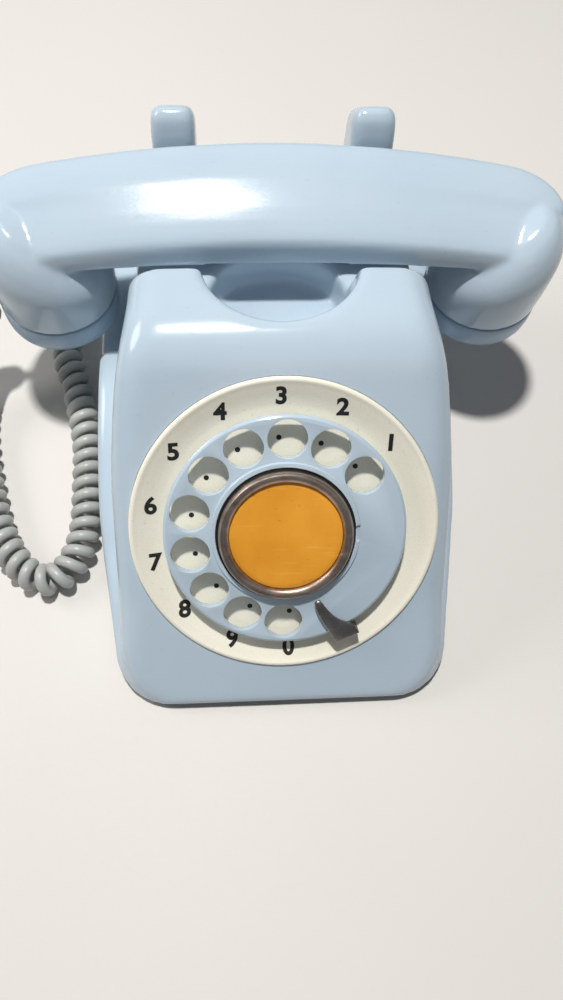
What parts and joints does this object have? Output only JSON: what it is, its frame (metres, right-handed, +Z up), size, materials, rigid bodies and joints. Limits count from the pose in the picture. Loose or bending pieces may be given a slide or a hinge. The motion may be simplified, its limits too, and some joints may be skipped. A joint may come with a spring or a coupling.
{
  "type": "rotary desk telephone",
  "caption": "Desk telephone with a sloping rotary dial, a lift-off handset on a rear cradle, and a curly cord beside it.",
  "frame": {"origin": "on the table, under the middle of the set's box without its cord", "axes": "+X to the user's right along the handset, +Y to the back, +Z up"},
  "size_m": [0.2661, 0.23, 0.1235],
  "materials": {
    "blue_plastic": "moulded gloss",
    "cap_plastic": "moulded gloss",
    "cream_plastic": "moulded gloss",
    "ring_steel": "worn nickel",
    "orange_card": "satin enamel",
    "stop_steel": "brushed",
    "zinc_steel": "zinc plated",
    "brass": "bright",
    "spring_steel": "blued",
    "contact_stack": "laminated",
    "black_rubber": "matt",
    "cord_grey": "satin PVC",
    "gland_rubber": "matt",
    "board_resin": "laminated",
    "winding": "taped",
    "iron": "laminated",
    "capsule_metal": "pressed",
    "white_nylon": "moulded"
  },
  "bodies": {
    "base": {"housing": "blue_plastic", "base_plate": "zinc_steel", "rubber_feet": "black_rubber", "housing_screws": "zinc_steel", "number_ring": "cream_plastic", "finger_stop": "stop_steel", "dial_frame": "zinc_steel", "dial_rear_plate": "zinc_steel", "dial_bearing": "brass", "return_spring": "spring_steel", "pulse_contacts": "contact_stack", "governor_cup": "brass", "ringer_frame": "zinc_steel", "ringer_coils": "winding", "ringer_magnet": "iron", "gong_left": "brass", "gong_right": "brass", "gong_screws": "zinc_steel", "clapper_pin": "zinc_steel", "loudness_bracket": "zinc_steel", "circuit_board": "board_resin", "transformer": "iron", "capacitor": "winding", "terminal_strip": "white_nylon", "hook_bracket": "zinc_steel", "plunger_guides": "white_nylon", "hook_pin": "zinc_steel", "hook_spring": "spring_steel", "hook_contacts": "contact_stack", "curly_cord": "cord_grey", "body_lead": "cord_grey", "body_gland": "gland_rubber", "line_bush": "black_rubber"},
    "dial": {"finger_wheel": "blue_plastic", "centre_ring": "ring_steel", "number_card": "orange_card", "dial_shaft": "zinc_steel", "main_gear": "brass"},
    "governor": {"governor_shaft": "zinc_steel", "governor_weights": "brass"},
    "clapper": {"clapper": "zinc_steel"},
    "loudness": {"loudness_wheel": "white_nylon"},
    "plungers": {"hook_plungers": "white_nylon"},
    "lever": {"hook_lever": "zinc_steel"},
    "handset": {"handset_handle": "blue_plastic", "ear_cap": "cap_plastic", "mouth_cap": "cap_plastic", "receiver_capsule": "capsule_metal", "transmitter_capsule": "capsule_metal", "transmitter_cup": "white_nylon", "handset_gland": "gland_rubber", "handset_lead": "cord_grey"}
  },
  "joints": [
    {"name": "handset_lift", "type": "slide", "parent": "base", "child": "handset", "axis": [0, 0, 1], "range_m": [0, 0.1]},
    {"name": "dial_turn", "type": "hinge", "parent": "base", "child": "dial", "pos_m": [0, -0.058, 0.06015], "axis": [0, -0.682, 0.7314], "range_deg": [-322, 0], "stiffness_Nm_per_rad": 0.01, "springref_deg": 34.38},
    {"name": "governor_spin", "type": "hinge", "parent": "base", "child": "governor", "pos_m": [-0.02494, -0.05489, 0.03571], "axis": [0, -0.682, 0.7314], "range_deg": [-1, 1611]},
    {"name": "plunger_slide", "type": "slide", "parent": "base", "child": "plungers", "axis": [0, 0, 1], "range_m": [0, 0.004]},
    {"name": "lever_swing", "type": "hinge", "parent": "base", "child": "lever", "pos_m": [0, 0.046, 0.054], "axis": [1, 0, 0], "range_deg": [0, 11], "deforming": ["hook_spring"]},
    {"name": "clapper_swing", "type": "hinge", "parent": "base", "child": "clapper", "pos_m": [0, 0.06, 0.0155], "axis": [0, 0, 1], "range_deg": [-4.5, 4.5], "stiffness_Nm_per_rad": 0.01},
    {"name": "loudness_turn", "type": "hinge", "parent": "base", "child": "loudness", "pos_m": [0.062, -0.008, 0.0095], "axis": [1, 0, 0], "range_deg": [-80, 80]}
  ],
  "couplings": [
    {"joint": "governor_spin", "follows": "dial_turn", "ratio": -5},
    {"joint": "plunger_slide", "follows": "handset_lift", "ratio": 0.04},
    {"joint": "lever_swing", "follows": "handset_lift", "rad_per_m": 1.9}
  ]
}
